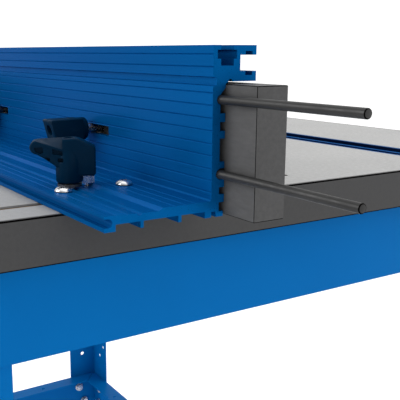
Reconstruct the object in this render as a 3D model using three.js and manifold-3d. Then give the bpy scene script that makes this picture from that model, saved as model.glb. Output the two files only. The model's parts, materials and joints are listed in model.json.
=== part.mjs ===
// Benchtop-style router table on a folded steel stand, with a long extruded fence that is clamped
// across the top. Millimetres, +Z up, +X along the fence towards the infeed end, +Y to the rear.
// Local frame while building: x from the fence's outfeed end, y from the fence wall's rear face,
// z from the table surface. Everything is shifted to the part frame at the end.
import * as THREE from 'three';
import { mergeVertices } from 'three/addons/utils/BufferGeometryUtils.js';
import Module from 'manifold-3d';

const wasm = await Module();
wasm.setup();

// ---- driving dimensions ----
const TABLE_HEIGHT = 870;          // floor to table surface
const FENCE_LENGTH = 914.4;        // 36 in
const MID_X = FENCE_LENGTH / 2;    // bit centre line
const TOP = { x0: 50.8, x1: 863.6, y0: -440.5, y1: 169.5, thick: 28.6 };
const LAMINATE = 1.2;
const BAND = 3;
const GAP = 0.3;                   // air between neighbouring pieces
const TRACK = { y0: -315.4, y1: -278, depth: 12.7 };
const INSERT = { y: -145.5, w: 299, d: 235, thick: 9.5, corner: 14, ledge: 15 };
const RING = { r: 49.2, bore: 19, thick: 4.9, ledge: 46 };
const SLOT = { x: 83, width: 7, y0: -128, y1: 112 };
const WALL_SLOT = { z: 35.9, h: 6.8, starts: [118.6, 314], length: 72.4 };
const FACE = { y0: -28.7, y1: -8.6, z0: 1.3, z1: 71.7, out: 26, length: 432 };
const ROD = { r: 2.4, y: -5.5, zs: [63.6, 23.7], out: 101, length: 400 };
const MOUTH = { x0: 412.2, x1: 502.2, z: 60, y1: 46 };
const STAND = { x0: 68.4, x1: 846, y0: -340.6, y1: 142.6, sheet: 2, leg: 50.8 };
const APRON = { drop: 60.4, flange: 25, sheet: 2 };
const RAIL = { z: -517, web: 68, flange: 27 };
const BOLT_R = 3.175;
const LOCK = { y: 45.5, base: 11.5 };
const BASE_Z = -TABLE_HEIGHT;

// part frame: origin under the middle of the bounding box
const SHIFT = new THREE.Vector3(
  -(FENCE_LENGTH + FACE.out - ROD.out) / 2,
  -(TOP.y0 + TOP.y1) / 2,
  TABLE_HEIGHT,
);

// ---- solids ----
function solid(geometry) {
  const g = geometry.clone();
  g.deleteAttribute('normal');
  g.deleteAttribute('uv');
  const m = mergeVertices(g, 1e-4);
  return new wasm.Manifold(new wasm.Mesh({
    numProp: 3,
    vertProperties: new Float32Array(m.attributes.position.array),
    triVerts: new Uint32Array(m.index.array),
  }));
}

function toGeometry(body) {
  const mesh = body.getMesh();
  const g = new THREE.BufferGeometry();
  const p = new Float32Array(mesh.numVert * 3);
  for (let i = 0; i < mesh.numVert; i += 1) {
    for (let k = 0; k < 3; k += 1) p[3 * i + k] = mesh.vertProperties[mesh.numProp * i + k];
  }
  g.setAttribute('position', new THREE.BufferAttribute(p, 3));
  g.setIndex(new THREE.BufferAttribute(new Uint32Array(mesh.triVerts), 1));
  return g;
}

const union = (parts) => parts.reduce((a, b) => a.add(b));
const cut = (base, tools) => tools.reduce((a, b) => a.subtract(b), base);

function box(x0, x1, y0, y1, z0, z1) {
  const g = new THREE.BoxGeometry(x1 - x0, y1 - y0, z1 - z0);
  g.translate((x0 + x1) / 2, (y0 + y1) / 2, (z0 + z1) / 2);
  return solid(g);
}

function outline(points) {
  const s = new THREE.Shape();
  points.forEach(([a, b], i) => (i ? s.lineTo(a, b) : s.moveTo(a, b)));
  s.closePath();
  return s;
}

// outline in (x, y), raised from z0 to z1
function plate(shape, z0, z1, segments = 5) {
  const g = new THREE.ExtrudeGeometry(shape, { depth: z1 - z0, bevelEnabled: false, curveSegments: segments });
  g.translate(0, 0, z0);
  return solid(g);
}

// outline in (y, z), run from x0 to x1
function alongX(points, x0, x1) {
  const g = new THREE.ExtrudeGeometry(outline(points), { depth: x1 - x0, bevelEnabled: false });
  g.applyMatrix4(new THREE.Matrix4().makeBasis(
    new THREE.Vector3(0, 1, 0), new THREE.Vector3(0, 0, 1), new THREE.Vector3(1, 0, 0)));
  g.translate(x0, 0, 0);
  return solid(g);
}

// turned profile (radius, height) about Z, then moved or tipped
function turned(profile, segments = 20) {
  return new THREE.LatheGeometry(profile.map(([r, h]) => new THREE.Vector2(r, h)), segments).rotateX(Math.PI / 2);
}
const rodProfile = (r, h0, h1) => [[0, h0], [r, h0], [r, h1], [0, h1]];

function pinZ(x, y, profile, segments) {
  return solid(turned(profile, segments).translate(x, y, 0));
}
// profile heights measured along +Y
function pinY(x, z, profile, segments) {
  return solid(turned(profile, segments).rotateX(-Math.PI / 2).translate(x, 0, z));
}
// profile heights measured along +X
function pinX(y, z, profile, segments) {
  return solid(turned(profile, segments).rotateY(Math.PI / 2).translate(0, y, z));
}

function roundedRect(x0, x1, y0, y1, r) {
  const s = new THREE.Shape();
  s.moveTo(x0 + r, y0);
  s.lineTo(x1 - r, y0);
  s.absarc(x1 - r, y0 + r, r, -Math.PI / 2, 0);
  s.lineTo(x1, y1 - r);
  s.absarc(x1 - r, y1 - r, r, 0, Math.PI / 2);
  s.lineTo(x0 + r, y1);
  s.absarc(x0 + r, y1 - r, r, Math.PI / 2, Math.PI);
  s.lineTo(x0, y0 + r);
  s.absarc(x0 + r, y0 + r, r, Math.PI, 1.5 * Math.PI);
  return s;
}

// arc as a list of points, ends included
function arc(cy, cz, r, a0, a1, n) {
  const out = [];
  for (let i = 0; i <= n; i += 1) {
    const a = THREE.MathUtils.degToRad(a0 + ((a1 - a0) * i) / n);
    out.push([cy + r * Math.cos(a), cz + r * Math.sin(a)]);
  }
  return out;
}

const mirrorX = (x) => FENCE_LENGTH - x;
const group = new THREE.Group();

function put(name, body, colour, roughness, metalness = 0) {
  const g = toGeometry(body);
  g.translate(SHIFT.x, SHIFT.y, SHIFT.z);
  g.computeVertexNormals();
  const mesh = new THREE.Mesh(g, new THREE.MeshStandardMaterial({ color: colour, roughness, metalness }));
  mesh.name = name;
  group.add(mesh);
}

const BLUE_PAINT = 0x0a5fa8;
const BLUE_ANODISED = 0x0b5c99;
const NAVY = 0x1b2f6e;
const BLACK = 0x14171a;
const STEEL = 0xb8babd;
const GREY = 0x5c5d5f;

// ---- table top ----
const slotXs = [SLOT.x, mirrorX(SLOT.x)];
const slotCuts = () => slotXs.map((x) => plate(
  roundedRect(x - SLOT.width / 2, x + SLOT.width / 2, SLOT.y0, SLOT.y1, SLOT.width / 2 - 0.01), -40, 5, 4));
const channelCut = () => box(0, FENCE_LENGTH, TRACK.y0 - GAP, TRACK.y1 + GAP, -TRACK.depth - GAP, 5);
const ix0 = MID_X - INSERT.w / 2;
const ix1 = MID_X + INSERT.w / 2;
const iy0 = INSERT.y - INSERT.d / 2;
const iy1 = INSERT.y + INSERT.d / 2;
const seatCut = () => plate(roundedRect(ix0 - GAP, ix1 + GAP, iy0 - GAP, iy1 + GAP, INSERT.corner + GAP),
  -INSERT.thick - GAP, 5);
const L = INSERT.ledge;
const openingCut = () => plate(roundedRect(ix0 + L, ix1 - L, iy0 + L, iy1 - L, 4), -40, 5, 4);
const inner = { x0: TOP.x0 + BAND + 0.15, x1: TOP.x1 - BAND - 0.15, y0: TOP.y0 + BAND + 0.15, y1: TOP.y1 - BAND - 0.15 };
const layer = (z0, z1, y0 = inner.y0, y1 = inner.y1) => box(inner.x0, inner.x1, y0, y1, z0, z1);
const coreTop = -LAMINATE - 0.1;
const coreBottom = -TOP.thick + LAMINATE + 0.1;

put('laminate_main', cut(layer(-LAMINATE, 0, TRACK.y1 + GAP), [...slotCuts(), seatCut()]), 0xd6d6d4, 0.35);
put('laminate_front', layer(-LAMINATE, 0, inner.y0, TRACK.y0 - GAP), 0xd6d6d4, 0.35);
put('top_core', cut(layer(coreBottom, coreTop), [...slotCuts(), channelCut(), seatCut(), openingCut()]), 0x8a6f52, 0.8);
put('top_backer', cut(layer(-TOP.thick, -TOP.thick + LAMINATE), [...slotCuts(), openingCut()]), 0x2a2a2b, 0.6);
put('edge_band', cut(box(TOP.x0, TOP.x1, TOP.y0, TOP.y1, -TOP.thick, 0), [
  box(TOP.x0 + BAND, TOP.x1 - BAND, TOP.y0 + BAND, TOP.y1 - BAND, -TOP.thick - 1, 1), channelCut(),
]), 0x4a4a4b, 0.55);

// ---- combined mitre and T-slot track, open along its length ----
const t0 = TRACK.y0;
const d = TRACK.depth;
put('mitre_track', alongX([
  [t0, -d], [TRACK.y1, -d], [TRACK.y1, 0],
  [t0 + 34.4, 0], [t0 + 34.4, -2.6], [t0 + 36, -2.6], [t0 + 36, -7.2], [t0 + 24.6, -7.2],
  [t0 + 24.6, -2.6], [t0 + 26.4, -2.6], [t0 + 26.4, 0], [t0 + 22.4, 0],
  [t0 + 22.4, -9.5], [t0 + 3.1, -9.5], [t0 + 3.1, 0], [t0, 0],
], TOP.x0 + 0.4, TOP.x1 - 0.4), NAVY, 0.35, 0.6);

// ---- insert plate and its lift-out ring ----
const ringHole = pinZ(MID_X, INSERT.y, rodProfile(RING.r + 0.3, -RING.thick - 0.1, 5), 36);
const lowHole = pinZ(MID_X, INSERT.y, rodProfile(RING.ledge, -20, 5), 36);
const plateScrews = [];
[-1, 1].forEach((a) => [-1, 1].forEach((b) => {
  plateScrews.push(pinZ(MID_X + a * (INSERT.w / 2 - 10), INSERT.y + b * (INSERT.d / 2 - 10), [
    [0, -20], [2.4, -20], [2.4, -3], [5, 0], [5, 5], [0, 5]], 12));
}));
put('insert_plate', cut(plate(roundedRect(ix0, ix1, iy0, iy1, INSERT.corner), -INSERT.thick, 0),
  [ringHole, lowHole, ...plateScrews]), 0x1f2022, 0.45);
put('insert_ring', solid(turned([
  [RING.bore, -RING.thick], [RING.r, -RING.thick], [RING.r, -0.6], [RING.r - 0.6, 0],
  [RING.bore + 1, 0], [RING.bore, -1], [RING.bore, -RING.thick]], 36).translate(MID_X, INSERT.y, 0)), BLACK, 0.5);

// ---- fence extrusion ----
const ARM = -28.5;                 // front of the two upper arms
const TOOTH = -8.3;
const WEB = -5;                    // front of the thin wall
const FOOT = 0.3;                  // ribs stand just clear of the surface
const vGroove = (z) => [[0, z - 0.5], [-0.45, z], [0, z + 0.5]];
const flangeTop = (y) => (y < 31 ? 9.3 : 7.7 + (y - 33.5) * 0.035);
const flangeGroove = (y) => [[y + 0.5, flangeTop(y)], [y, flangeTop(y) - 0.45], [y - 0.5, flangeTop(y)]];
const tooth = (z0, z1) => [[WEB, z1], [TOOTH, z1], [TOOTH, z0], [WEB, z0]];
const rib = (y0, y1) => [[y0, 3.9], [y0, FOOT], [y1, FOOT], [y1, 3.9]];
const rodGroove = (z) => arc(ROD.y, z, ROD.r + 0.35, 79.5, -79.5, 6);
const section = [
  [0, 92], [-5, 92], [-5, 89.5], [-2.7, 89.5], [-2.7, 84.9], [-5, 84.9], [-5, 81.3],
  [-13.3, 81.3], [-13.3, 84.9], [-15.4, 84.9], [-15.4, 89.5], [-13.3, 89.5], [-13.3, 92],
  [ARM, 92], [ARM, 86.85], [-25.8, 86.85], [-25.8, 88.9], [-21.2, 88.9], [-21.2, 86.85],
  [-17.7, 86.85], [-17.7, 78.4], [-21.2, 78.4], [-21.2, 76.2], [-25.8, 76.2], [-25.8, 78.4],
  [ARM, 78.4], [ARM, 73], ...arc(-11.3, 72.9, 1.5, 176, 0, 5), [TOOTH, 71.9], [TOOTH, 70],
  ...rodGroove(ROD.zs[0]),
  ...tooth(51.8, 56.4), ...tooth(43, 47), ...tooth(26.8, 30.4),
  ...rodGroove(ROD.zs[1]),
  ...tooth(16.5, 20.7), ...tooth(8.2, 12.6),
  [WEB, 3.2], [-7.8, 3.2], [-7.8, FOOT], [-3, FOOT], [-3, 3.4], [-0.1, 3.4],
  [-0.1, FOOT], [4.2, FOOT], [4.2, 3.9], ...rib(19.2, 21.2), ...rib(42.3, 44.2),
  [58.6, 3.9], [58.6, FOOT], [65, FOOT], [65, 2.5], ...arc(62.8, 4.85, 2.35, 270, 90, 6), [65, 7.2],
  [65, flangeTop(65)],
  ...[58.2, 51.7].flatMap(flangeGroove),
  ...arc(44.6, flangeTop(44.6) + 0.55, 1.85, -17.3, -162.7, 6),
  [33.5, 7.7], [30.5, 9.3], ...[23.1, 16.6, 10.1].flatMap(flangeGroove), [0.8, 9.3], [0, 10],
  ...[13.95, 20.35, 26.65, 33.85, 40.25, 47.25, 53.95, 60.75, 67.25].flatMap(vGroove),
  [0, 70.85], [-2.2, 71.25], [-2.5, 71.95], [-2.5, 75.15], [0, 75.65],
  ...[80.75, 87.3].flatMap(vGroove),
];
const wallSlots = [];
WALL_SLOT.starts.forEach((s) => {
  [s, mirrorX(s) - WALL_SLOT.length].forEach((x0) => wallSlots.push(
    box(x0, x0 + WALL_SLOT.length, -12, 6, WALL_SLOT.z - WALL_SLOT.h / 2, WALL_SLOT.z + WALL_SLOT.h / 2)));
});
const KEY_SCREWS = [[68, 16.2], [71, 55.2]];
const KEY_NUT = [85.2, 33];
const ends = [{ tag: 'outfeed', f: (x) => x }, { tag: 'infeed', f: mirrorX }];
const flangeHoles = ends.flatMap(({ f }) => [
  pinZ(f(SLOT.x), LOCK.y, rodProfile(BOLT_R + 0.4, -5, 15), 16),
  ...KEY_SCREWS.map(([x, y]) => pinZ(f(x), y, rodProfile(2.3, -5, 15), 14)),
  pinZ(f(KEY_NUT[0]), KEY_NUT[1], rodProfile(2.3, -5, 15), 14),
]);
// the fence is one length of extrusion, held as four plain lengths that meet at the mouth's edges
const fenceLength = (x0, x1) => cut(alongX(section, x0, x1), [...wallSlots, ...flangeHoles]);
const JOIN = 0.02;
const fencePieces = {
  fence_outfeed: fenceLength(0, MOUTH.x0),
  fence_infeed: fenceLength(MOUTH.x1, FENCE_LENGTH),
  fence_over_mouth: cut(alongX(section, MOUTH.x0 + JOIN, MOUTH.x1 - JOIN), [
    box(MOUTH.x0 - 2, MOUTH.x1 + 2, -60, 70, -5, MOUTH.z)]),
  fence_behind_mouth: cut(alongX(section, MOUTH.x0 + JOIN, MOUTH.x1 - JOIN), [
    box(MOUTH.x0 - 2, MOUTH.x1 + 2, -60, MOUTH.y1 - 8, -5, 100)]),
};
Object.entries(fencePieces).forEach(([name, body]) => put(name, body, BLUE_ANODISED, 0.3, 0.6));

// ---- sliding face boards with their clamp bolts and knobs ----
const boltXs = [WALL_SLOT.starts[0] + 27.4, WALL_SLOT.starts[1] + 27.4];
const HEAD_R = 6.4;
function faceBoard(x0, xs) {
  return cut(box(x0, x0 + FACE.length, FACE.y0, FACE.y1, FACE.z0, FACE.z1), xs.flatMap((x) => [
    pinY(x, WALL_SLOT.z, rodProfile(BOLT_R + 0.3, FACE.y0 - 2, FACE.y1 + 2), 16),
    pinY(x, WALL_SLOT.z, rodProfile(HEAD_R + 0.6, FACE.y0 - 2, FACE.y0 + 7), 24),
  ]));
}
put('face_outfeed', faceBoard(-FACE.out, boltXs), GREY, 0.6);
put('face_infeed', faceBoard(FENCE_LENGTH + FACE.out - FACE.length, boltXs.map(mirrorX)), GREY, 0.6);

const FACE_KNOB = { base: 4.6, length: 27 };
function faceKnob(x) {
  const z = WALL_SLOT.z;
  const b = FACE_KNOB.base;
  const tip = b + FACE_KNOB.length;
  const hub = pinY(x, z, [[0, b], [7.2, b], [7.9, b + 0.7], [7.9, b + 14], [0, b + 14]], 24);
  const head = alongX([
    [b + 4.2, z - 7.6], [b + 5.1, z - 8.5], [tip - 3.2, z - 8.5], [tip - 2.6, z - 7.8],
    [tip + 1.4, z + 6.6], [tip + 0.8, z + 7.4], [b + 5.1, z + 7.7], [b + 4.2, z + 6.8],
  ], x - 7.9, x + 7.9);
  return cut(union([hub, head]), [
    pinY(x, z, rodProfile(BOLT_R + 0.15, b - 2, b + 18), 16),
    pinY(x, z, rodProfile(3.6, tip - 4.5, tip + 4), 16),
  ]);
}
boltXs.forEach((bx, i) => ends.forEach(({ tag, f }) => {
  const x = f(bx);
  const n = i ? 'inner' : 'outer';
  put(`face_bolt_${tag}_${n}`, pinY(x, WALL_SLOT.z, [
    [0, FACE.y0 + 1.6], [HEAD_R, FACE.y0 + 1.6], [HEAD_R, FACE.y0 + 6.8], [BOLT_R, FACE.y0 + 6.8],
    [BOLT_R, 20], [BOLT_R - 0.6, 20.8], [0, 20.8]], 16), STEEL, 0.3, 0.9);
  put(`face_knob_${tag}_${n}`, faceKnob(x), BLACK, 0.45);
}));

// ---- jointing rods, drawn part-way out of their grooves ----
['upper', 'lower'].forEach((n, i) => put(`jointing_rod_${n}`, pinX(ROD.y, ROD.zs[i], [
  [0, -ROD.out], [ROD.r - 0.7, -ROD.out], [ROD.r, -ROD.out + 0.7],
  [ROD.r, -ROD.out + ROD.length], [0, -ROD.out + ROD.length]], 16), 0x232425, 0.5));

// ---- fence clamps: bolt through the table slot, wing knob above, guide keys in the slot ----
const WING = { long: 23, short: 16, height: 27, thick: 12, angle: 64 };
function wingProfile() {
  const s = new THREE.Shape();
  s.moveTo(-7.5, 4.2);
  s.lineTo(7.6, 10);
  s.quadraticCurveTo(14, 13.8, 19, 17.2);
  s.absarc(WING.long - 4.2, 21.6, 4.2, -1.2, Math.PI / 2);
  s.lineTo(WING.long - 5, WING.height);
  s.lineTo(-4, WING.height);
  s.lineTo(-WING.short, 21.2);
  s.lineTo(-WING.short, 5.2);
  s.lineTo(-WING.short + 1, 4.2);
  return s;
}
const CELLS = [
  [[20.2, 21.6], [15.2, 22], [14.8, 18.4], [17.5, 17.9], [19.6, 19.3]],
  [[9.5, 20.9], [3.6, 19.2], [3.6, 16.6], [9.5, 17.6]],
  [[14.2, 15.9], [11.2, 15.6], [10.9, 13.6], [12.4, 13.6]],
  [[6.5, 15.2], [3.2, 15.2], [3.2, 12.8], [6.5, 12.8]],
];
function wingKnob() {
  const bar = new THREE.ExtrudeGeometry(wingProfile(), { depth: WING.thick, bevelEnabled: false, curveSegments: 5 });
  bar.translate(0, 0, -WING.thick / 2).rotateX(Math.PI / 2);
  const hub = turned([[0, 0], [7.4, 0], [8.2, 1], [8.2, 13], [7, 20], [0, 20]], 24);
  const pockets = [];
  CELLS.forEach((q) => [[-9, -3.6], [3.6, 9]].forEach(([a, b]) => {
    const g = new THREE.ExtrudeGeometry(outline(q), { depth: b - a, bevelEnabled: false });
    pockets.push(solid(g.translate(0, 0, a).rotateX(Math.PI / 2)));
  }));
  // thumb rest: the long wing's top falls away towards the hub on one side
  const h = WING.height;
  const t = WING.thick / 2;
  pockets.push(wasm.Manifold.hull([
    [3.6, -t, h], [3.6, t + 1, 20], [3.6, t + 1, h + 3], [3.6, -t, h + 3],
    [21, -t, h], [21, t + 1, 25.6], [21, t + 1, h + 3], [21, -t, h + 3]]));
  return cut(union([solid(bar), solid(hub)]), [
    ...pockets,
    solid(turned(rodProfile(BOLT_R + 0.15, -2, 17), 16)),
  ]);
}
ends.forEach(({ tag, f }) => {
  const mirrored = tag === 'infeed';
  const x = f(SLOT.x);
  const knob = wingKnob().rotate([0, 0, mirrored ? 180 - WING.angle : WING.angle]);
  put(`lock_knob_${tag}`, knob.translate([x, LOCK.y, LOCK.base]), BLACK, 0.45);
  put(`lock_bolt_${tag}`, pinZ(x, LOCK.y, [
    [0, -36], [5, -36], [5, -32.2], [11, -32.2], [11, -TOP.thick - GAP], [BOLT_R, -TOP.thick - GAP],
    [BOLT_R, LOCK.base + 14], [BOLT_R - 0.6, LOCK.base + 14.6], [0, LOCK.base + 14.6]], 16), STEEL, 0.3, 0.9);
  put(`lock_washer_${tag}`, solid(turned([
    [BOLT_R + 0.2, 9.1], [7.4, 9.1], [7.4, 10.9], [BOLT_R + 0.2, 10.9], [BOLT_R + 0.2, 9.1]], 24)
    .translate(x, LOCK.y, 0)), STEEL, 0.3, 0.9);
  // each key's pad reaches sideways under the flange to its screw
  const pad = (xa, xb, ya, yb) => box(Math.min(f(xa), f(xb)), Math.max(f(xa), f(xb)), ya, yb, -1, 3.6);
  const runner = (ya, yb) => box(x - 3.1, x + 3.1, ya, yb, -9, 0.6);
  const raise = (ya, yb) => pad(79.9, 86.1, ya, yb);
  const lift = box(0, FENCE_LENGTH, -20, 80, -1.01, 0.25);
  const trimmed = (p) => p.subtract(lift);
  put(`guide_key_front_${tag}`, cut(union([
    runner(5, 40), raise(5, 18.4), raise(22, 40), trimmed(pad(62, 86.1, 5, 18.8)),
  ]).subtract(box(x - 4, x + 4, 18.5, 21.9, 0, 2)), [
    pinZ(f(KEY_SCREWS[0][0]), KEY_SCREWS[0][1], rodProfile(2.1, -6, 8), 14),
    pinZ(f(KEY_NUT[0]), KEY_NUT[1], rodProfile(1.6, -6, 8), 12),
  ]), 0xd9d7cf, 0.5);
  put(`guide_key_rear_${tag}`, cut(union([
    runner(49.4, 58), raise(49.4, 58), trimmed(pad(66, 86.1, 49.4, 58.4)),
  ]), [
    pinZ(f(KEY_SCREWS[1][0]), KEY_SCREWS[1][1], rodProfile(2.1, -6, 8), 14),
  ]), 0xd9d7cf, 0.5);
  KEY_SCREWS.forEach(([sx, sy], i) => {
    const seat = flangeTop(sy) + 0.3;
    const bottom = 0.6;
    put(`guide_screw_${i ? 'rear' : 'front'}_${tag}`, pinZ(f(sx), sy, [
      [0, bottom], [1.9, bottom], [1.9, seat], [5.2, seat], [4.9, seat + 1.1], [3.9, seat + 2], [2.2, seat + 2.6],
      [0, seat + 2.8]], 20), 0xd8d8d8, 0.2, 1);
  });
  const nx = f(KEY_NUT[0]);
  put(`key_nut_${tag}`, union([
    box(nx - 3.5, nx + 3.5, KEY_NUT[1] - 3.5, KEY_NUT[1] + 3.5, 9.6, 13.6),
    pinZ(nx, KEY_NUT[1], rodProfile(1.4, 0.6, 10), 12),
  ]), STEEL, 0.35, 0.8);
});

// ---- dust hood over the mouth in the wall ----
const hoodOuter = [[0.3, 10.2], [0.9, 9.6], [30.4, 9.6], [33.4, 8.1], [46, 8.5], [46, 44], [30, 66.5], [0.3, 66.5]];
const hoodInner = [[-2, 3], [43.5, 3], [43.5, 43], [28.7, 64], [-2, 64]];
put('dust_hood', cut(union([
  alongX(hoodOuter, MOUTH.x0 - 7, MOUTH.x1 + 7),
  pinY(MID_X, 37.8, rodProfile(28, 20, 84), 36),
]), [
  alongX(hoodInner, MOUTH.x0 - 4.5, MOUTH.x1 + 4.5),
  pinY(MID_X, 37.8, rodProfile(25.4, 24, 90), 36),
]), BLACK, 0.5);

// ---- stand: four angle legs, four folded aprons, four folded lower rails ----
const S = STAND.sheet;
const HOLES = [[24, -474], [38, -453.5], [24, -569.5], [34, -539], [24, -60]];
const cornersXY = [
  ['outfeed_rear', STAND.x0, STAND.y1, 1, -1], ['outfeed_front', STAND.x0, STAND.y0, 1, 1],
  ['infeed_rear', STAND.x1, STAND.y1, -1, -1], ['infeed_front', STAND.x1, STAND.y0, -1, 1]];
const order = (a, b) => (a < b ? [a, b] : [b, a]);
const LEG_TOP = -TOP.thick - 2.9;
const LEG_BOTTOM = BASE_Z + 12;
cornersXY.forEach(([tag, cx, cy, sx, sy]) => {
  const slab = (ax, ay, z0, z1) => box(...order(cx, cx + sx * ax), ...order(cy, cy + sy * ay), z0, z1);
  const drills = HOLES.flatMap(([o, z]) => [
    pinY(cx + sx * (o + S), z, rodProfile(3.5, cy - 6, cy + 6), 10),
    pinX(cy + sy * (o + S), z, rodProfile(3.5, cx - 6, cx + 6), 10),
  ]);
  drills.push(pinZ(cx + sx * 25, cy + sy * 25, rodProfile(4.4, BASE_Z, BASE_Z + 40), 16));
  put(`leg_${tag}`, cut(union([
    slab(STAND.leg, S, LEG_BOTTOM, LEG_TOP), slab(S, STAND.leg, LEG_BOTTOM, LEG_TOP),
    slab(46, 46, LEG_BOTTOM, LEG_BOTTOM + 3),
  ]), drills), BLUE_PAINT, 0.35);
  const fx = cx + sx * 25;
  const fy = cy + sy * 25;
  put(`foot_${tag}`, pinZ(fx, fy, [
    [0, BASE_Z], [14, BASE_Z], [15, BASE_Z + 1.5], [15, BASE_Z + 6], [9, BASE_Z + 8.5], [9, BASE_Z + 11.7],
    [4, BASE_Z + 11.7], [4, BASE_Z + 48], [0, BASE_Z + 48]], 18), BLACK, 0.6);
});

// folded strip: upright web whose outer face lies on `at`, top flange mitred inwards
function foldedStrip(axis, at, inward, a0, a1, zTop, drop, flange, sheet, trim) {
  const web = axis === 'y'
    ? box(...order(at, at + inward * sheet), a0 + trim, a1 - trim, zTop - drop, zTop)
    : box(a0 + trim, a1 - trim, ...order(at, at + inward * sheet), zTop - drop, zTop);
  const m = 0.8;
  const pts = [[0, a0 + trim], [0, a1 - trim], [flange, a1 - flange - m], [flange, a0 + flange + m]]
    .map(([u, v]) => [at + inward * u, v]);
  if (trim === 0) {
    pts[0][1] = a0 + m;
    pts[1][1] = a1 - m;
  }
  const shape = outline(axis === 'y' ? pts : pts.map(([u, v]) => [v, u]));
  return web.add(plate(shape, zTop - sheet, zTop));
}
const A = APRON.sheet;
const ax0 = STAND.x0 - A - GAP;
const ax1 = STAND.x1 + A + GAP;
const ay0 = STAND.y0 - A - GAP;
const ay1 = STAND.y1 + A + GAP;
const az = -TOP.thick - GAP;
const strip = (...args) => foldedStrip(...args);
// the side flanges are cut away where the clamp bolts travel below the slots
const window = (at, inward) => box(...order(at + inward * (A + 0.5), at + inward * 40), SLOT.y0 - 8, SLOT.y1 + 8,
  az - A - 1, az + 1);
put('apron_outfeed', strip('y', ax0, 1, ay0, ay1, az, APRON.drop, APRON.flange, A, 0).subtract(window(ax0, 1)),
  BLUE_PAINT, 0.35);
put('apron_infeed', strip('y', ax1, -1, ay0, ay1, az, APRON.drop, APRON.flange, A, 0).subtract(window(ax1, -1)),
  BLUE_PAINT, 0.35);
put('apron_front', strip('x', ay0, 1, ax0, ax1, az, APRON.drop, APRON.flange, A, A + GAP), BLUE_PAINT, 0.35);
put('apron_rear', strip('x', ay1, -1, ax0, ax1, az, APRON.drop, APRON.flange, A, A + GAP), BLUE_PAINT, 0.35);
const rx0 = STAND.x0 + S + GAP;
const rx1 = STAND.x1 - S - GAP;
const ry0 = STAND.y0 + S + GAP;
const ry1 = STAND.y1 - S - GAP;
function rail(axis, at, inward, a0, a1, trim) {
  const body = strip(axis, at, inward, a0, a1, RAIL.z, RAIL.web, RAIL.flange, S, trim);
  const o = at + inward * 15;
  const spots = [a0 + 111, (a0 + a1) / 2, a1 - 111];
  return cut(body, spots.map((v) => pinZ(axis === 'y' ? o : v, axis === 'y' ? v : o,
    rodProfile(3, RAIL.z - 10, RAIL.z + 10), 12)));
}
put('rail_outfeed', rail('y', rx0, 1, ry0, ry1, 0), BLUE_PAINT, 0.35);
put('rail_infeed', rail('y', rx1, -1, ry0, ry1, 0), BLUE_PAINT, 0.35);
put('rail_front', rail('x', ry0, 1, rx0, rx1, S + GAP), BLUE_PAINT, 0.35);
put('rail_rear', rail('x', ry1, -1, rx0, rx1, S + GAP), BLUE_PAINT, 0.35);

export default group;
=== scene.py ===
# Router table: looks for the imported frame. Everything is in metres, in the frame's own axes.
import json
import math

import bmesh
import bpy
from mathutils import Matrix, Vector


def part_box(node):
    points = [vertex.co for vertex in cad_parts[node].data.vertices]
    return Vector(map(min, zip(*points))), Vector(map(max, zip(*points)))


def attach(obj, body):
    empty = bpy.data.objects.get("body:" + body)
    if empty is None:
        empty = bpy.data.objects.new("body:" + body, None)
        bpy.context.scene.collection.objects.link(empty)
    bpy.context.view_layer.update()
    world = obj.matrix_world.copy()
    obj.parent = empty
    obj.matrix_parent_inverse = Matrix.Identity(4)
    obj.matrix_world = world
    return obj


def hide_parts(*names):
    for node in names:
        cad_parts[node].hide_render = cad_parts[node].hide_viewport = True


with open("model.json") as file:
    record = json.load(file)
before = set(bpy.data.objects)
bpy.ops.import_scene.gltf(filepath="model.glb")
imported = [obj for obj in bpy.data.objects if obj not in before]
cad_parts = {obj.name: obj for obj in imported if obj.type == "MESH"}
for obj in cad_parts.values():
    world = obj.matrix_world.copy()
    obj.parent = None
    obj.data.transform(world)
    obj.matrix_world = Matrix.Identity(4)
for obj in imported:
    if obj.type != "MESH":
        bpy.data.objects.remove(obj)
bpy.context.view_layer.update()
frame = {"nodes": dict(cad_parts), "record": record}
nodes = frame["nodes"]

# ---- where things are: x from the fence's outfeed end, y from its wall, z from the table surface, in mm ----
MM = 0.001
FLANGE_DEPTH = 65  # from the wall's datum to the flange's rear edge
_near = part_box("fence_outfeed")
ORIGIN = Vector((_near[0].x, _near[1].y - FLANGE_DEPTH * MM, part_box("laminate_main")[1].z))
LENGTH = (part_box("fence_infeed")[1].x - _near[0].x) / MM


def at(x, y, z):
    return ORIGIN + Vector((x, y, z)) * MM


def flip(x):
    return LENGTH - x


ENDS = [("outfeed", lambda x: x, 1), ("infeed", flip, -1)]

# ---- camera ----
cam = bpy.data.objects.new("camera", bpy.data.cameras.new("camera"))
bpy.context.scene.collection.objects.link(cam)
cam.data.sensor_width = 36
cam.data.lens = 63.6
cam.data.shift_x = 0.1
cam.data.clip_start = 0.02
cam.data.clip_end = 200
cam.location = at(-303.4, 219.8, 88.6)
cam.rotation_euler = Vector((0.8328, -0.5139, -0.2057)).to_track_quat("-Z", "Y").to_euler()
bpy.context.scene.camera = cam
bpy.context.scene.view_settings.view_transform = "Standard"
bpy.context.scene.view_settings.look = "None"


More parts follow.
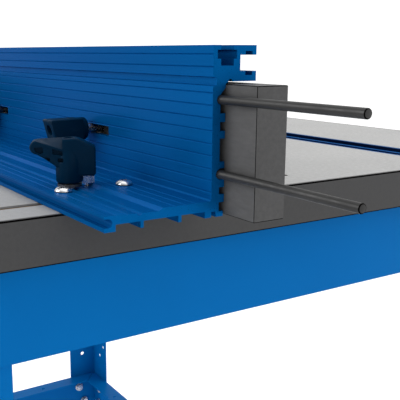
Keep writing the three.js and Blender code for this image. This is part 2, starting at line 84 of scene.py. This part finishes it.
# ---- materials ----
class Graph:
    def __init__(self, name):
        self.mat = bpy.data.materials.new(name)
        self.mat.use_nodes = True
        self.tree = self.mat.node_tree
        self.tree.nodes.clear()
        self.out = self.tree.nodes.new("ShaderNodeOutputMaterial")
        self.bsdf = self.tree.nodes.new("ShaderNodeBsdfPrincipled")
        self.link(self.bsdf.outputs[0], self.out.inputs[0])
        self.coord = self.tree.nodes.new("ShaderNodeTexCoord").outputs["Object"]

    def link(self, a, b):
        self.tree.links.new(a, b)

    def set(self, **values):
        for key, value in values.items():
            self.bsdf.inputs[key.replace("_", " ")].default_value = value
        return self

    def scaled(self, scale):
        m = self.tree.nodes.new("ShaderNodeMapping")
        m.inputs["Scale"].default_value = scale
        self.link(self.coord, m.inputs["Vector"])
        return m.outputs[0]

    def noise(self, scale, detail=2.0, stretch=(1, 1, 1), rough=0.5):
        n = self.tree.nodes.new("ShaderNodeTexNoise")
        n.inputs["Scale"].default_value = scale
        n.inputs["Detail"].default_value = detail
        n.inputs["Roughness"].default_value = rough
        self.link(self.scaled(stretch), n.inputs["Vector"])
        return n.outputs["Fac"]

    def cells(self, scale, feature="F1", randomness=1.0, stretch=(1, 1, 1)):
        n = self.tree.nodes.new("ShaderNodeTexVoronoi")
        n.feature = feature
        n.inputs["Scale"].default_value = scale
        n.inputs["Randomness"].default_value = randomness
        self.link(self.scaled(stretch), n.inputs["Vector"])
        return n.outputs["Distance"]

    def ramp(self, source, stops, socket=None):
        r = self.tree.nodes.new("ShaderNodeValToRGB")
        self.link(source, r.inputs[0])
        while len(r.color_ramp.elements) < len(stops):
            r.color_ramp.elements.new(0.5)
        for e, (pos, colour) in zip(r.color_ramp.elements, stops):
            e.position = pos
            e.color = (*colour, 1) if len(colour) == 3 else colour
        if socket:
            self.link(r.outputs[0], self.bsdf.inputs[socket])
        return r.outputs[0]

    def grey(self, source, stops, socket=None):
        return self.ramp(source, [(p, (v, v, v)) for p, v in stops], socket)

    def mixed(self, fac, a, b, mode="MIX"):
        m = self.tree.nodes.new("ShaderNodeMix")
        m.data_type = "RGBA"
        m.blend_type = mode
        for socket, value in ((m.inputs[0], fac), (m.inputs[6], a), (m.inputs[7], b)):
            if isinstance(value, bpy.types.NodeSocket):
                self.link(value, socket)
            else:
                socket.default_value = value if isinstance(value, (int, float)) else (*value, 1)
        return m.outputs[2]

    def paint(self, source):
        self.link(source, self.bsdf.inputs["Base Color"])

    def bump(self, source, distance, strength=1.0, normal=None):
        b = self.tree.nodes.new("ShaderNodeBump")
        b.inputs["Distance"].default_value = distance
        b.inputs["Strength"].default_value = strength
        self.link(source, b.inputs["Height"])
        if normal is not None:
            self.link(normal, b.inputs["Normal"])
        self.link(b.outputs[0], self.bsdf.inputs["Normal"])
        return b.outputs[0]


def powder_coat():
    g = Graph("powder_coat_blue").set(Specular_IOR_Level=0.03)
    blotch = g.noise(7, 3)
    speck = g.cells(900)
    base = g.ramp(blotch, [(0.3, (0.0, 0.122, 0.39)), (0.7, (0.0, 0.134, 0.42))])
    g.paint(g.mixed(g.grey(speck, [(0.0, 0.25), (0.25, 0.0)]), base, (0.0, 0.15, 0.46)))
    g.grey(g.noise(240, 2), [(0.3, 0.30), (0.7, 0.42)], "Roughness")
    g.bump(g.noise(650, 2), 0.00006, 0.5, g.bump(g.noise(90, 1), 0.00005, 0.35))
    return g.mat


def anodised(name, deep, light, rough=(0.26, 0.38), metal=0.38):
    g = Graph(name).set(Metallic=metal, Specular_Tint=(0.02, 0.42, 0.85, 1), Specular_IOR_Level=0.02)
    long_grain = g.noise(60, 4, (0.012, 1, 1))
    g.ramp(long_grain, [(0.3, deep), (0.7, light)], "Base Color")
    g.grey(g.noise(700, 2, (0.01, 1, 1)), [(0.3, rough[0]), (0.7, rough[1])], "Roughness")
    g.bump(g.noise(1500, 3, (0.004, 1, 1)), 0.00003, 0.5)
    return g.mat


def laminate():
    g = Graph("laminate_grey").set(Specular_IOR_Level=0.26)
    dots = g.cells(900, randomness=0.35)
    base = g.ramp(g.noise(14, 3), [(0.3, (0.275, 0.275, 0.273)), (0.7, (0.31, 0.31, 0.306))])
    g.paint(g.mixed(g.grey(dots, [(0.18, 0.55), (0.34, 0.0)]), base, (0.24, 0.24, 0.238)))
    g.grey(g.noise(300, 2), [(0.3, 0.34), (0.7, 0.46)], "Roughness")
    g.bump(g.grey(dots, [(0.15, 1.0), (0.42, 0.0)]), 0.00008, 0.6)
    return g.mat


def board(name, dark, light, fibre, rough=0.6):
    g = Graph(name).set(Specular_IOR_Level=0.15)
    fibres = g.noise(420, 5, (0.25, 1, 1), 0.7)
    base = g.ramp(fibres, [(0.3, dark), (0.7, light)])
    g.paint(g.mixed(g.grey(g.cells(1400), [(0.05, 0.35), (0.3, 0.0)]), base, fibre))
    g.grey(fibres, [(0.3, rough - 0.06), (0.7, rough + 0.08)], "Roughness")
    g.bump(g.noise(1600, 3), 0.00005, 0.45)
    return g.mat


def moulded(name, dark, light, rough=(0.34, 0.46), grain=1400, sheen=0.4):
    g = Graph(name).set(Specular_IOR_Level=sheen)
    g.ramp(g.noise(35, 3), [(0.35, dark), (0.7, light)], "Base Color")
    g.grey(g.noise(260, 2), [(0.3, rough[0]), (0.7, rough[1])], "Roughness")
    g.bump(g.cells(grain), 0.00004, 0.35)
    return g.mat


def zinc(name="zinc_steel", shine=1.0, rough=(0.2, 0.36)):
    g = Graph(name).set(Metallic=1.0)
    dark, light = [tuple(shine * v for v in c) for c in ((0.56, 0.565, 0.58), (0.70, 0.70, 0.705))]
    g.ramp(g.cells(260), [(0.1, dark), (0.8, light)], "Base Color")
    g.grey(g.noise(500, 3), [(0.3, rough[0]), (0.7, rough[1])], "Roughness")
    g.bump(g.noise(1800, 2), 0.00002, 0.4)
    return g.mat


def core_board():
    g = Graph("fibreboard_core").set(Specular_IOR_Level=0.2)
    chips = g.noise(600, 6, (1, 1, 1), 0.75)
    g.ramp(chips, [(0.3, (0.20, 0.125, 0.065)), (0.7, (0.33, 0.22, 0.13))], "Base Color")
    g.grey(g.noise(90, 2), [(0.3, 0.78), (0.7, 0.92)], "Roughness")
    g.bump(g.noise(1500, 4), 0.0001, 0.6)
    return g.mat


M = {
    "powder_coat": powder_coat(),
    "fence_blue": anodised("anodised_blue", (0.0, 0.076, 0.25), (0.001, 0.089, 0.287)),
    "track_navy": anodised(
        "anodised_navy", (0.02, 0.042, 0.13), (0.028, 0.052, 0.16), (0.3, 0.42), 1.0),
    "laminate": laminate(),
    "core_board": core_board(),
    "backer": moulded(
        "backing_laminate", (0.012, 0.012, 0.013), (0.02, 0.02, 0.021), (0.5, 0.62)),
    "edge_band": board(
        "edge_band_grey", (0.049, 0.049, 0.05), (0.059, 0.059, 0.06), (0.041, 0.041, 0.042), 0.55),
    "insert_plastic": moulded(
        "phenolic_black", (0.016, 0.016, 0.017), (0.024, 0.024, 0.025), (0.38, 0.5), 900),
    "ring_plastic": moulded("ring_black", (0.012, 0.012, 0.013), (0.02, 0.02, 0.021)),
    "face_board": board(
        "sealed_board_grey", (0.063, 0.063, 0.064), (0.085, 0.085, 0.086), (0.056, 0.056, 0.056),
        0.6),
    "knob_plastic": moulded(
        "knob_black", (0.0, 0.012, 0.031), (0.001, 0.016, 0.039), (0.3, 0.42), 2200, 0.03),
    "steel": zinc(),
    # zinc steel darkened to 0.12 of its colour: painted shade for the lock washers sitting in the shade under
    # the clamp knobs' hubs
    "steel_shade_painted": zinc("zinc_painted_shade", 0.12, (0.4, 0.55)),
    "rod_black": moulded(
        "rod_black", (0.012, 0.012, 0.012), (0.018, 0.018, 0.018), (0.34, 0.46), 1800, 0.3),
    "key_plastic": moulded("slide_plastic", (0.62, 0.61, 0.57), (0.70, 0.69, 0.65), (0.4, 0.5)),
    "hood_plastic": moulded(
        "hood_black", (0.010, 0.011, 0.013), (0.018, 0.019, 0.021), (0.4, 0.52), 1100),
    "foot_plastic": moulded(
        "foot_black", (0.012, 0.012, 0.012), (0.02, 0.02, 0.02), (0.6, 0.75), 900),
}
EDGE = moulded("edge_line_dark", (0.001, 0.001, 0.001), (0.004, 0.004, 0.004), (0.7, 0.85), 1400, 0.0)

slot_of = {s["node"]: s["material_slot"] for s in frame["record"]["subparts"]}
for name, obj in nodes.items():
    obj.data.materials.clear()
    # the lock washers take the darkened steel, which is painted shade under the knob hubs
    obj.data.materials.append(M["steel_shade_painted" if name.startswith("lock_washer") else slot_of[name]])


def soften(obj, width, segments=2, material=None, weld=True, angle=30, clamp=True):
    if weld:
        w = obj.modifiers.new("weld", "WELD")
        w.merge_threshold = 0.000005
    b = obj.modifiers.new("bevel", "BEVEL")
    b.width = width * MM
    b.segments = segments
    b.limit_method = "ANGLE"
    b.angle_limit = math.radians(angle)
    b.use_clamp_overlap = clamp
    if material is not None:
        obj.data.materials.append(material)
        b.material = 1
    return obj


for name, obj in nodes.items():
    if name.startswith(("apron_", "rail_", "leg_")):
        soften(obj, 0.5, 2)
    elif name in ("dust_hood",):
        soften(obj, 0.9, 3)
    elif name in ("insert_plate", "insert_ring"):
        soften(obj, 0.4, 2)
for name in ("fence_outfeed", "fence_infeed", "fence_over_mouth", "fence_behind_mouth"):
    soften(nodes[name], 0.14, 1)
soften(nodes["mitre_track"], 0.25, 2)
for name in ("face_outfeed", "face_infeed"):
    soften(nodes[name], 0.38, 1, EDGE, clamp=False)
soften(nodes["edge_band"], 0.9, 1, EDGE, clamp=False)


# ---- mesh helpers for the finer pieces ----
def add(name, bm, material, body=None, smooth=35):
    mesh = bpy.data.meshes.new(name)
    bmesh.ops.recalc_face_normals(bm, faces=bm.faces)
    bm.to_mesh(mesh)
    bm.free()
    obj = bpy.data.objects.new(name, mesh)
    bpy.context.scene.collection.objects.link(obj)
    mesh.materials.append(material)
    if smooth:
        mesh.shade_smooth()
        mesh.set_sharp_from_angle(angle=math.radians(smooth))
    if body:
        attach(obj, body)
    return obj


def lathe_bm(profile, segments=48):
    """(radius mm, height mm) profile turned about Z, closed on the axis."""
    bm = bmesh.new()
    rings = []
    for r, h in profile:
        if r <= 1e-6:
            rings.append([bm.verts.new((0, 0, h * MM))])
        else:
            rings.append([bm.verts.new((r * MM * math.cos(a), r * MM * math.sin(a), h * MM))
                          for a in (2 * math.pi * i / segments for i in range(segments))])
    for lo, hi in zip(rings, rings[1:]):
        for i in range(segments):
            j = (i + 1) % segments
            quad = [lo[i % len(lo)], lo[j % len(lo)], hi[j % len(hi)], hi[i % len(hi)]]
            face = list(dict.fromkeys(quad))
            if len(face) > 2:
                bm.faces.new(face)
    return bm


def prism_bm(points, z0, z1):
    """closed outline in mm raised from z0 to z1 mm"""
    bm = bmesh.new()
    low = [bm.verts.new((x * MM, y * MM, z0 * MM)) for x, y in points]
    high = [bm.verts.new((x * MM, y * MM, z1 * MM)) for x, y in points]
    bm.faces.new(list(reversed(low)))
    bm.faces.new(high)
    n = len(points)
    for i in range(n):
        j = (i + 1) % n
        bm.faces.new([low[i], low[j], high[j], high[i]])
    return bm


def placed(bm, matrix):
    bmesh.ops.transform(bm, matrix=matrix, verts=bm.verts)
    return bm


def frame_matrix(origin, x_axis, z_axis):
    z = Vector(z_axis).normalized()
    x = Vector(x_axis).normalized()
    y = z.cross(x)
    m = Matrix((x, y, z)).transposed().to_4x4()
    m.translation = origin
    return m


def bake(obj):
    """applies the modifiers, so that the mesh is final"""
    dg = bpy.context.evaluated_depsgraph_get()
    mesh = bpy.data.meshes.new_from_object(obj.evaluated_get(dg))
    obj.modifiers.clear()
    obj.data = mesh
    return obj


def carve(target, cutters):
    for c in cutters:
        m = target.modifiers.new("cut", "BOOLEAN")
        m.object = c
        m.operation = "DIFFERENCE"
        m.solver = "EXACT"
    bake(target)
    for c in cutters:
        bpy.data.objects.remove(c)
    return target


def blank(bm):
    """a plain body that is cut from or joined to another one"""
    return add("blank", bm, M["knob_plastic"], smooth=0)


def join(target, other):
    m = target.modifiers.new("join", "BOOLEAN")
    m.operation = "UNION"
    m.solver = "EXACT"
    m.object = other
    bake(target)
    bpy.data.objects.remove(other)


def rounded(obj, width, segments, angle=None):
    b = obj.modifiers.new("round", "BEVEL")
    b.width = width * MM
    b.segments = segments
    if angle is not None:
        b.limit_method = "ANGLE"
        b.angle_limit = math.radians(angle)
    bake(obj)


def finished(obj, name, matrix, body, sharp):
    obj.name = name
    obj.data.name = name
    obj.data.transform(matrix)
    obj.data.shade_smooth()
    obj.data.set_sharp_from_angle(angle=math.radians(sharp))
    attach(obj, body)
    return obj


def arc(cx, cy, r, a0, a1, n):
    return [(cx + r * math.cos(math.radians(a0 + (a1 - a0) * i / n)),
             cy + r * math.sin(math.radians(a0 + (a1 - a0) * i / n))) for i in range(n + 1)]


def curve_points(p0, p1, p2, n):
    return [((1 - t) ** 2 * p0[0] + 2 * t * (1 - t) * p1[0] + t * t * p2[0],
             (1 - t) ** 2 * p0[1] + 2 * t * (1 - t) * p1[1] + t * t * p2[1])
            for t in (i / n for i in range(1, n + 1))]


# ---- knobs ----
BORE = 3.35  # radius of both knobs' bolt holes


def wing_knob(name, matrix, body):
    """local z is up, the long wing points along local x"""
    outline = [(-14.6, 4.3), (-6, 4.3), (7.8, 10.1)]
    outline += curve_points((7.8, 10.1), (13, 14.2), (18.6, 17.4), 8)
    outline += arc(18.8, 21.7, 4.1, -65, 88, 9)
    outline += [(-3.2, 26.9)] + curve_points((-3.2, 26.9), (-5.2, 26.9), (-7.2, 26), 3)
    outline += [(-15.2, 21.9), (-15.9, 20.8), (-15.9, 5.3)]
    bar = blank(prism_bm(outline, -5.9, 5.9))
    tip = Matrix.Rotation(math.pi / 2, 4, "X")
    bar.data.transform(tip)
    rounded(bar, 1.3, 4, 40)
    hub = [(0, 0), (6.9, 0), (7.6, 0.3), (8.1, 1.1), (8.15, 12), (7.6, 16), (5.5, 21), (0, 21.5)]
    join(bar, blank(lathe_bm(hub)))
    cutters = []
    cells = [[(20.2, 21.6), (15.2, 22), (14.8, 18.4), (17.5, 17.9), (19.6, 19.3)],
             [(9.5, 20.9), (3.6, 19.2), (3.6, 16.6), (9.5, 17.6)],
             [(14.2, 15.9), (11.2, 15.6), (10.9, 13.6), (12.4, 13.6)],
             [(6.5, 15.2), (3.2, 15.2), (3.2, 12.8), (6.5, 12.8)]]
    for q in cells:
        for z0, z1 in ((3.6, 9), (-9, -3.6)):
            c = blank(prism_bm(q, z0, z1))
            c.data.transform(tip)
            rounded(c, 0.45, 2)
            cutters.append(c)
    # thumb rest: the long wing's top falls away to one side, deeper towards the hub
    rest = bmesh.new()
    for x, low in ((3.6, 20.4), (20.5, 25.8)):
        for y, z in ((-6, 27), (6.5, low), (6.5, 30), (-6, 30)):
            rest.verts.new((x * MM, y * MM, z * MM))
    bmesh.ops.convex_hull(rest, input=rest.verts)
    cutters.append(blank(rest))
    cutters.append(blank(lathe_bm([(0, -3), (BORE, -3), (BORE, 17), (0, 17)], 32)))
    cutters.append(blank(lathe_bm([(0, 24.6), (3.2, 24.6), (3.6, 30), (0, 30)], 32)))
    carve(bar, cutters)
    rounded(bar, 0.25, 2, 35)
    return finished(bar, name, matrix, body, 38)


for tag, f, s in ENDS:
    base = at(f(83), 45.5, 0)
    base.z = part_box(f"lock_knob_{tag}")[0].z
    turn = Vector((s * math.cos(math.radians(64)), math.sin(math.radians(64)), 0))
    knob = wing_knob(f"clamp_knob_{tag}", frame_matrix(base, turn, (0, 0, 1)), f"lock_knob_{tag}")
    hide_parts(f"lock_knob_{tag}")


def face_knob(name, matrix, body):
    """local z is outwards from the wall, local y is up"""
    profile = [(4.3, -7.5), (5.2, -8.4), (23.7, -8.4), (24.5, -7.6),
               (28.2, 6.4), (27.6, 7.3), (5.2, 7.6), (4.3, 6.7)]
    head = blank(prism_bm(profile, -7.8, 7.8))
    # outline x -> z, outline y -> y, depth -> x
    head.data.transform(Matrix(((0, 0, -1, 0), (0, 1, 0, 0), (1, 0, 0, 0), (0, 0, 0, 1))))
    rounded(head, 1.1, 4, 20)
    join(head, blank(lathe_bm([(0, 0), (6.9, 0), (7.5, 0.3), (7.85, 1.0), (7.85, 12.5), (6, 15), (0, 15.5)])))
    carve(head, [
        blank(lathe_bm([(0, -3), (BORE, -3), (BORE, 18), (0, 18)], 32)),
        blank(lathe_bm([(0, 21), (3.4, 21), (3.9, 31), (0, 31)], 32)),
    ])
    rounded(head, 0.25, 2, 35)
    return finished(head, name, matrix, body, 38)


for tag, _, _ in ENDS:
    for n in ("outer", "inner"):
        node = f"face_knob_{tag}_{n}"
        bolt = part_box(f"face_bolt_{tag}_{n}")
        c = (bolt[0] + bolt[1]) / 2
        base = Vector((c.x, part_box(node)[0].y, c.z))
        knob = face_knob(f"board_knob_{tag}_{n}", frame_matrix(base, (-1, 0, 0), (0, 1, 0)), node)
        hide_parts(node)

# ---- dome-headed screws on the flange ----
for tag, _, _ in ENDS:
    for n in ("front", "rear"):
        node = f"guide_screw_{n}_{tag}"
        lo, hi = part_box(node)
        top = (hi.z - lo.z) / MM
        seat = top - 2.8
        shank = [(0, 0), (1.9, 0), (1.9, seat), (4.7, seat)]
        crown = [(5.15, 0.25), (5.1, 0.7), (4.6, 1.5), (3.7, 2.15), (2.4, 2.6), (1.1, 2.76), (0, 2.8)]
        dome = add("dome", lathe_bm(shank + [(r, seat + h) for r, h in crown]), M["steel"], smooth=0)
        cross = []
        for a, b in ((2.4, 0.5), (0.5, 2.4)):
            bar = prism_bm([(-a, -b), (a, -b), (a, b), (-a, b)], seat + 1.5, seat + 4)
            cross.append(add("cross", bar, M["steel"], smooth=0))
        carve(dome, cross)
        centre = Vector(((lo.x + hi.x) / 2, (lo.y + hi.y) / 2, lo.z))
        turned = Matrix.Translation(centre) @ Matrix.Rotation(math.radians(20), 4, "Z")
        finished(dome, f"dome_screw_{n}_{tag}", turned, "fence", 35)
        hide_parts(node)

# ---- jointing rods ----
for n in ("upper", "lower"):
    lo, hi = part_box(f"jointing_rod_{n}")
    long = (hi.x - lo.x) / MM
    r = (hi.z - lo.z) / 2 / MM
    tip = [(0, 0), (r - 0.45, 0), (r - 0.15, 0.12), (r, 0.45)]
    bm = lathe_bm(tip + [(r, long - 0.6), (r - 0.5, long), (0, long)], 40)
    placed(bm, frame_matrix(Vector((lo.x, (lo.y + hi.y) / 2, (lo.z + hi.z) / 2)), (0, 1, 0), (1, 0, 0)))
    rod = add(f"rod_{n}", bm, M["rod_black"], f"jointing_rod_{n}")
    rod.data.materials.append(EDGE)
    for face in rod.data.polygons:
        if 0.2 < abs(face.normal.x) < 0.95:
            face.material_index = 1
    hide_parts(f"jointing_rod_{n}")


# ---- bolts and nuts of the stand ----
def hexagon(across_flats):
    r = across_flats / 2 / math.cos(math.pi / 6)
    return [(r * math.cos(math.radians(60 * i)), r * math.sin(math.radians(60 * i))) for i in range(6)]


def stand_bolt(name, where, outwards, grip):
    """dome head outside the sheet at `where`, shank, washer and nut inside; grip is the sheets' thickness"""
    m = frame_matrix(where, (0, 0, 1), outwards)
    shank = [(0, -grip - 7.5), (2.7, -grip - 7.5), (3.1, -grip - 7), (3.1, 0.05)]
    head = lathe_bm(shank + [(7.0, 0.05), (7.2, 0.5), (6.5, 1.6), (5, 2.6), (3, 3.2), (0, 3.4)], 32)
    add(f"{name}_bolt", placed(head, m), M["steel"], "table")
    ring = [(3.2, 1.5), (7.2, 1.5), (7.4, 1.2), (7.4, 0.1), (3.2, 0.1), (3.2, 1.5)]
    washer = lathe_bm([(r, -grip - depth) for r, depth in ring], 32)
    add(f"{name}_washer", placed(washer, m), M["steel"], "table")
    nut = prism_bm(hexagon(11), -grip - 6.4, -grip - 1.55)
    o = add(f"{name}_nut", placed(nut, m), M["steel"], "table", 0)
    soften(o, 0.6, 2, None, False)


# each leg's corner of the stand: 0 or 1 for the low or high side in x and y
corners = {
    "outfeed_rear": (0, 1), "outfeed_front": (0, 0), "infeed_rear": (1, 1), "infeed_front": (1, 0)}
# bolts of a leg: distance from the inner face of its other side, height from the table surface; the lower
# rail takes two and the apron one
LEG_BOLTS = ((34, -539), (24, -569.5), (24, -60))
APRON_PROUD = 2.3  # the aprons lie outside the legs, one sheet and a gap out; the lower rails lie inside
GRIP = 4.4  # both sheets and the gap between them
SHEET = 2
for tag, (ix, iy) in corners.items():
    lo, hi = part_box(f"leg_{tag}")
    cx, cy = (lo, hi)[ix].x, (lo, hi)[iy].y
    sx, sy = (1, -1)[ix], (1, -1)[iy]
    for k, (inset, z) in enumerate(LEG_BOLTS):
        height = ORIGIN.z + z * MM
        proud = (APRON_PROUD if z > -200 else 0) * MM
        along = (inset + SHEET) * MM
        stand_bolt(f"side_{tag}_{k}", Vector((cx - sx * proud, cy + sy * along, height)), (-sx, 0, 0), GRIP)
        stand_bolt(f"long_{tag}_{k}", Vector((cx + sx * along, cy - sy * proud, height)), (0, -sy, 0), GRIP)

# ---- levelling feet: tapered pad, hexagon and threaded stud ----
for tag in corners:
    node = f"foot_{tag}"
    lo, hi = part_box(node)
    c = Vector(((lo.x + hi.x) / 2, (lo.y + hi.y) / 2, lo.z))
    here = Matrix.Translation(c)
    tread = [(0, 0), (13.4, 0), (14.6, 0.6), (15, 1.8), (14.9, 5.2)]
    pad = lathe_bm(tread + [(14.2, 6.3), (12, 6.9), (9.4, 7.4), (0, 7.5)], 48)
    p = add(f"foot_pad_{tag}", placed(pad, here), M["foot_plastic"], node)
    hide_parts(node)
    flats = placed(prism_bm(hexagon(13), 7.2, 11.4), here)
    soften(add(f"foot_hex_{tag}", flats, M["steel"], node, 0), 0.7, 2, None, False)
    thread = [(0, 11.3)]
    z = 11.4
    while z < 46.6:
        thread += [(3.35, z), (3.95, z + 0.6)]
        z += 1.2
    thread += [(3.3, 47.4), (0, 47.9)]
    add(f"foot_stud_{tag}", placed(lathe_bm(thread, 24), here), M["steel"], node, 60)
    flats = placed(prism_bm(hexagon(13), 15.3, 20.4), here)
    soften(add(f"foot_locknut_{tag}", flats, M["steel"], "table", 0), 0.7, 2, None, False)

# ---- insert plate screws ----
lo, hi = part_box("insert_plate")
for i, x in enumerate((lo.x + 0.010, hi.x - 0.010)):
    for j, y in enumerate((lo.y + 0.010, hi.y - 0.010)):
        shank = [(0, -8), (2.1, -8), (2.1, -2.9)]
        bm = lathe_bm(shank + [(4.5, -0.5), (4.5, -0.25), (2.4, -0.2), (2.2, -1.6), (0, -1.7)], 32)
        placed(bm, Matrix.Translation(Vector((x, y, hi.z))))
        add(f"plate_screw_{i}{j}", bm, M["steel"], "table")

# ---- screws along the mitre track ----
lo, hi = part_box("mitre_track")
for k in range(5):
    x = lo.x + 0.06 + k * (hi.x - lo.x - 0.12) / 4
    bm = lathe_bm([(0, 0), (3.9, 0), (4.2, 0.25), (3.4, 0.9), (1.6, 1.0), (1.3, 0.4), (0, 0.35)], 28)
    placed(bm, Matrix.Translation(Vector((x, lo.y + 0.01275, hi.z - 0.0095))))
    add(f"track_screw_{k}", bm, M["steel"], "table")

# ---- floor, light, world ----
bm = bmesh.new()
bmesh.ops.create_circle(bm, cap_ends=True, radius=40, segments=96)
g = Graph("floor_white").set(Roughness=0.9, Specular_IOR_Level=0.1)
g.set(Emission_Color=(1, 1, 1, 1), Emission_Strength=0.22)
g.ramp(g.noise(3, 2), [(0.3, (0.94, 0.94, 0.94)), (0.7, (0.96, 0.96, 0.96))], "Base Color")
floor = add("floor", bm, g.mat, smooth=0)
floor.location.z = -0.0005  # just under the feet

SURROUND = ((0.0, 1.0), (0.44, 0.95), (0.64, 0.58), (1.0, 0.25))
# studio surround: white towards -Y, dimmer towards +Y, fixed in the frame's axes
world = bpy.data.worlds.new("world")
world.use_nodes = True
tree = world.node_tree
coord = tree.nodes.new("ShaderNodeTexCoord")
axes = tree.nodes.new("ShaderNodeSeparateXYZ")
ramp = tree.nodes.new("ShaderNodeValToRGB")
span = tree.nodes.new("ShaderNodeMapRange")
span.inputs["From Min"].default_value = -1
span.inputs["From Max"].default_value = 1
tree.links.new(coord.outputs["Generated"], axes.inputs[0])
tree.links.new(axes.outputs["Y"], span.inputs["Value"])
tree.links.new(span.outputs[0], ramp.inputs[0])
while len(ramp.color_ramp.elements) < 4:
    ramp.color_ramp.elements.new(0.5)
for e, (pos, v) in zip(ramp.color_ramp.elements, SURROUND):
    e.position = pos
    e.color = (v, v, v, 1)
back = tree.nodes["Background"]
tree.links.new(ramp.outputs[0], back.inputs[0])
back.inputs[1].default_value = 1.25
bpy.context.scene.world = world


def area(name, where, target, size, power):
    light = bpy.data.lights.new(name, "AREA")
    light.shape = "RECTANGLE"
    light.size, light.size_y = size
    light.energy = power
    obj = bpy.data.objects.new(name, light)
    bpy.context.scene.collection.objects.link(obj)
    obj.location = where
    obj.rotation_euler = (Vector(target) - Vector(where)).to_track_quat("-Z", "Y").to_euler()
    return obj


area("key", at(650, 1500, 800), at(250, 0, 20), (1.2, 1.2), 22)
area("top", at(0, 0, 2200), at(200, -100, 0), (2.4, 2.4), 18)
